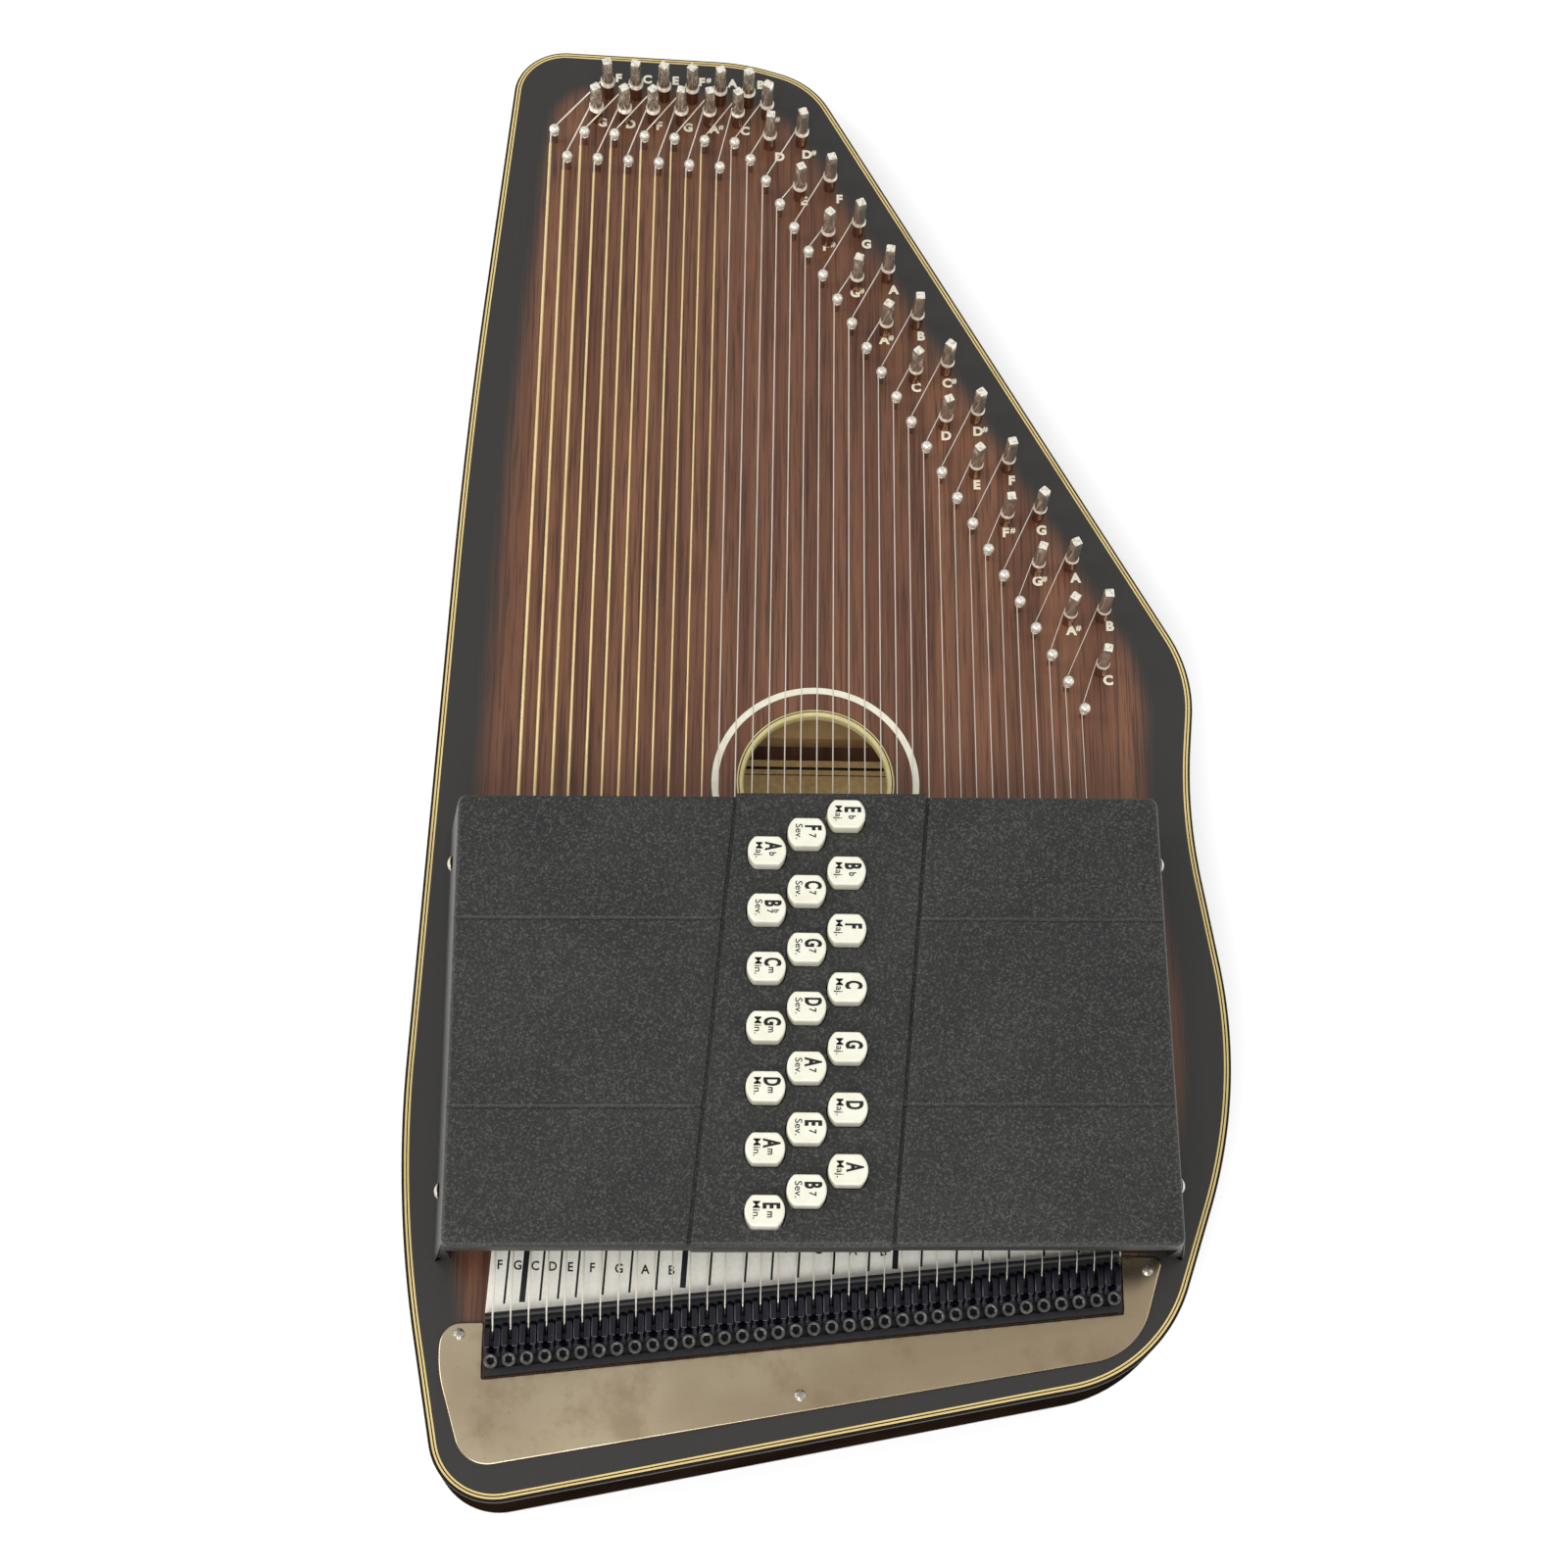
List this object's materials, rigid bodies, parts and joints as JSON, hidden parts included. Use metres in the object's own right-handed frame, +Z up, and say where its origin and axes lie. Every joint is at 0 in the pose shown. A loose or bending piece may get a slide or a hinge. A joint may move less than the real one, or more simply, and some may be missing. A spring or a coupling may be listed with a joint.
{
  "type": "autoharp",
  "caption": "Flat zither with strings over a soundboard, chord bars that damp them, and a covered push-button mechanism.",
  "frame": {"origin": "on the plane that the back rests on, midway across the body and 1.9 mm towards the tuning pins from the middle of its length", "axes": "+Z up out of the soundboard, +Y towards the tuning pins, +X towards the treble strings"},
  "size_m": [0.3087, 0.6138, 0.075],
  "materials": {
    "back_board": "dark lacquer",
    "body_rails": "maple, unfinished inside",
    "pin_block": "laminated maple",
    "soundboard": "reddish brown grain, black sunburst, gloss lacquer",
    "edge_binding": "cream with a dark line",
    "tail_plate": "polished",
    "tuning_pins": "nickel plated",
    "guide_pins": "nickel plated",
    "wound_strings": "bronze wrap on steel",
    "plain_strings": "plain steel wire",
    "fine_tuner_rail": "black anodised",
    "fine_tuner_claws": "black gloss",
    "fine_tuner_screws": "black oxide",
    "bar_holder_bass": "black",
    "bar_holder_treble": "black",
    "bar_springs_bass": "spring wire",
    "bar_springs_treble": "spring wire",
    "chord_bar_cover": "black, leather grain",
    "chord_bar_Eb": "black anodised, felt pads below",
    "chord_button_Eb": "ivory white",
    "chord_bar_F7": "black anodised, felt pads below",
    "chord_button_F7": "ivory white",
    "chord_bar_Ab": "black anodised, felt pads below",
    "chord_button_Ab": "ivory white",
    "chord_bar_Bb": "black anodised, felt pads below",
    "chord_button_Bb": "ivory white",
    "chord_bar_C7": "black anodised, felt pads below",
    "chord_button_C7": "ivory white",
    "chord_bar_Bb7": "black anodised, felt pads below",
    "chord_button_Bb7": "ivory white",
    "chord_bar_F": "black anodised, felt pads below",
    "chord_button_F": "ivory white",
    "chord_bar_G7": "black anodised, felt pads below",
    "chord_button_G7": "ivory white",
    "chord_bar_Cm": "black anodised, felt pads below",
    "chord_button_Cm": "ivory white",
    "chord_bar_C": "black anodised, felt pads below",
    "chord_button_C": "ivory white",
    "chord_bar_D7": "black anodised, felt pads below",
    "chord_button_D7": "ivory white",
    "chord_bar_Gm": "black anodised, felt pads below",
    "chord_button_Gm": "ivory white",
    "chord_bar_G": "black anodised, felt pads below",
    "chord_button_G": "ivory white",
    "chord_bar_A7": "black anodised, felt pads below",
    "chord_button_A7": "ivory white",
    "chord_bar_Dm": "black anodised, felt pads below",
    "chord_button_Dm": "ivory white",
    "chord_bar_D": "black anodised, felt pads below",
    "chord_button_D": "ivory white",
    "chord_bar_E7": "black anodised, felt pads below",
    "chord_button_E7": "ivory white",
    "chord_bar_Am": "black anodised, felt pads below",
    "chord_button_Am": "ivory white",
    "chord_bar_A": "black anodised, felt pads below",
    "chord_button_A": "ivory white",
    "chord_bar_B7": "black anodised, felt pads below",
    "chord_button_B7": "ivory white",
    "chord_bar_Em": "black anodised, felt pads below",
    "chord_button_Em": "ivory white"
  },
  "bodies": {
    "base": {"back_board": "back_board", "body_rails": "body_rails", "pin_block": "pin_block", "soundboard": "soundboard", "edge_binding": "edge_binding", "tail_plate": "tail_plate", "tuning_pins": "tuning_pins", "guide_pins": "guide_pins", "wound_strings": "wound_strings", "plain_strings": "plain_strings", "fine_tuner_rail": "fine_tuner_rail", "fine_tuner_claws": "fine_tuner_claws", "fine_tuner_screws": "fine_tuner_screws", "bar_holder_bass": "bar_holder_bass", "bar_holder_treble": "bar_holder_treble", "bar_springs_bass": "bar_springs_bass", "bar_springs_treble": "bar_springs_treble", "chord_bar_cover": "chord_bar_cover"},
    "chord_Eb": {"chord_bar_Eb": "chord_bar_Eb", "chord_button_Eb": "chord_button_Eb"},
    "chord_F7": {"chord_bar_F7": "chord_bar_F7", "chord_button_F7": "chord_button_F7"},
    "chord_Ab": {"chord_bar_Ab": "chord_bar_Ab", "chord_button_Ab": "chord_button_Ab"},
    "chord_Bb": {"chord_bar_Bb": "chord_bar_Bb", "chord_button_Bb": "chord_button_Bb"},
    "chord_C7": {"chord_bar_C7": "chord_bar_C7", "chord_button_C7": "chord_button_C7"},
    "chord_Bb7": {"chord_bar_Bb7": "chord_bar_Bb7", "chord_button_Bb7": "chord_button_Bb7"},
    "chord_F": {"chord_bar_F": "chord_bar_F", "chord_button_F": "chord_button_F"},
    "chord_G7": {"chord_bar_G7": "chord_bar_G7", "chord_button_G7": "chord_button_G7"},
    "chord_Cm": {"chord_bar_Cm": "chord_bar_Cm", "chord_button_Cm": "chord_button_Cm"},
    "chord_C": {"chord_bar_C": "chord_bar_C", "chord_button_C": "chord_button_C"},
    "chord_D7": {"chord_bar_D7": "chord_bar_D7", "chord_button_D7": "chord_button_D7"},
    "chord_Gm": {"chord_bar_Gm": "chord_bar_Gm", "chord_button_Gm": "chord_button_Gm"},
    "chord_G": {"chord_bar_G": "chord_bar_G", "chord_button_G": "chord_button_G"},
    "chord_A7": {"chord_bar_A7": "chord_bar_A7", "chord_button_A7": "chord_button_A7"},
    "chord_Dm": {"chord_bar_Dm": "chord_bar_Dm", "chord_button_Dm": "chord_button_Dm"},
    "chord_D": {"chord_bar_D": "chord_bar_D", "chord_button_D": "chord_button_D"},
    "chord_E7": {"chord_bar_E7": "chord_bar_E7", "chord_button_E7": "chord_button_E7"},
    "chord_Am": {"chord_bar_Am": "chord_bar_Am", "chord_button_Am": "chord_button_Am"},
    "chord_A": {"chord_bar_A": "chord_bar_A", "chord_button_A": "chord_button_A"},
    "chord_B7": {"chord_bar_B7": "chord_bar_B7", "chord_button_B7": "chord_button_B7"},
    "chord_Em": {"chord_bar_Em": "chord_bar_Em", "chord_button_Em": "chord_button_Em"}
  },
  "joints": [
    {"name": "press_Eb", "type": "slide", "parent": "base", "child": "chord_Eb", "axis": [0, 0, -1], "range_m": [0, 0.0036], "stiffness_N_per_m": 300, "springref_m": -0.004, "deforming": ["bar_springs_bass", "bar_springs_treble"]},
    {"name": "press_F7", "type": "slide", "parent": "base", "child": "chord_F7", "axis": [0, 0, -1], "range_m": [0, 0.0036], "stiffness_N_per_m": 300, "springref_m": -0.004, "deforming": ["bar_springs_bass", "bar_springs_treble"]},
    {"name": "press_Ab", "type": "slide", "parent": "base", "child": "chord_Ab", "axis": [0, 0, -1], "range_m": [0, 0.0036], "stiffness_N_per_m": 300, "springref_m": -0.004, "deforming": ["bar_springs_bass", "bar_springs_treble"]},
    {"name": "press_Bb", "type": "slide", "parent": "base", "child": "chord_Bb", "axis": [0, 0, -1], "range_m": [0, 0.0036], "stiffness_N_per_m": 300, "springref_m": -0.004, "deforming": ["bar_springs_bass", "bar_springs_treble"]},
    {"name": "press_C7", "type": "slide", "parent": "base", "child": "chord_C7", "axis": [0, 0, -1], "range_m": [0, 0.0036], "stiffness_N_per_m": 300, "springref_m": -0.004, "deforming": ["bar_springs_bass", "bar_springs_treble"]},
    {"name": "press_Bb7", "type": "slide", "parent": "base", "child": "chord_Bb7", "axis": [0, 0, -1], "range_m": [0, 0.0036], "stiffness_N_per_m": 300, "springref_m": -0.004, "deforming": ["bar_springs_bass", "bar_springs_treble"]},
    {"name": "press_F", "type": "slide", "parent": "base", "child": "chord_F", "axis": [0, 0, -1], "range_m": [0, 0.0036], "stiffness_N_per_m": 300, "springref_m": -0.004, "deforming": ["bar_springs_bass", "bar_springs_treble"]},
    {"name": "press_G7", "type": "slide", "parent": "base", "child": "chord_G7", "axis": [0, 0, -1], "range_m": [0, 0.0036], "stiffness_N_per_m": 300, "springref_m": -0.004, "deforming": ["bar_springs_bass", "bar_springs_treble"]},
    {"name": "press_Cm", "type": "slide", "parent": "base", "child": "chord_Cm", "axis": [0, 0, -1], "range_m": [0, 0.0036], "stiffness_N_per_m": 300, "springref_m": -0.004, "deforming": ["bar_springs_bass", "bar_springs_treble"]},
    {"name": "press_C", "type": "slide", "parent": "base", "child": "chord_C", "axis": [0, 0, -1], "range_m": [0, 0.0036], "stiffness_N_per_m": 300, "springref_m": -0.004, "deforming": ["bar_springs_bass", "bar_springs_treble"]},
    {"name": "press_D7", "type": "slide", "parent": "base", "child": "chord_D7", "axis": [0, 0, -1], "range_m": [0, 0.0036], "stiffness_N_per_m": 300, "springref_m": -0.004, "deforming": ["bar_springs_bass", "bar_springs_treble"]},
    {"name": "press_Gm", "type": "slide", "parent": "base", "child": "chord_Gm", "axis": [0, 0, -1], "range_m": [0, 0.0036], "stiffness_N_per_m": 300, "springref_m": -0.004, "deforming": ["bar_springs_bass", "bar_springs_treble"]},
    {"name": "press_G", "type": "slide", "parent": "base", "child": "chord_G", "axis": [0, 0, -1], "range_m": [0, 0.0036], "stiffness_N_per_m": 300, "springref_m": -0.004, "deforming": ["bar_springs_bass", "bar_springs_treble"]},
    {"name": "press_A7", "type": "slide", "parent": "base", "child": "chord_A7", "axis": [0, 0, -1], "range_m": [0, 0.0036], "stiffness_N_per_m": 300, "springref_m": -0.004, "deforming": ["bar_springs_bass", "bar_springs_treble"]},
    {"name": "press_Dm", "type": "slide", "parent": "base", "child": "chord_Dm", "axis": [0, 0, -1], "range_m": [0, 0.0036], "stiffness_N_per_m": 300, "springref_m": -0.004, "deforming": ["bar_springs_bass", "bar_springs_treble"]},
    {"name": "press_D", "type": "slide", "parent": "base", "child": "chord_D", "axis": [0, 0, -1], "range_m": [0, 0.0036], "stiffness_N_per_m": 300, "springref_m": -0.004, "deforming": ["bar_springs_bass", "bar_springs_treble"]},
    {"name": "press_E7", "type": "slide", "parent": "base", "child": "chord_E7", "axis": [0, 0, -1], "range_m": [0, 0.0036], "stiffness_N_per_m": 300, "springref_m": -0.004, "deforming": ["bar_springs_bass", "bar_springs_treble"]},
    {"name": "press_Am", "type": "slide", "parent": "base", "child": "chord_Am", "axis": [0, 0, -1], "range_m": [0, 0.0036], "stiffness_N_per_m": 300, "springref_m": -0.004, "deforming": ["bar_springs_bass", "bar_springs_treble"]},
    {"name": "press_A", "type": "slide", "parent": "base", "child": "chord_A", "axis": [0, 0, -1], "range_m": [0, 0.0036], "stiffness_N_per_m": 300, "springref_m": -0.004, "deforming": ["bar_springs_bass", "bar_springs_treble"]},
    {"name": "press_B7", "type": "slide", "parent": "base", "child": "chord_B7", "axis": [0, 0, -1], "range_m": [0, 0.0036], "stiffness_N_per_m": 300, "springref_m": -0.004, "deforming": ["bar_springs_bass", "bar_springs_treble"]},
    {"name": "press_Em", "type": "slide", "parent": "base", "child": "chord_Em", "axis": [0, 0, -1], "range_m": [0, 0.0036], "stiffness_N_per_m": 300, "springref_m": -0.004, "deforming": ["bar_springs_bass", "bar_springs_treble"]}
  ]
}
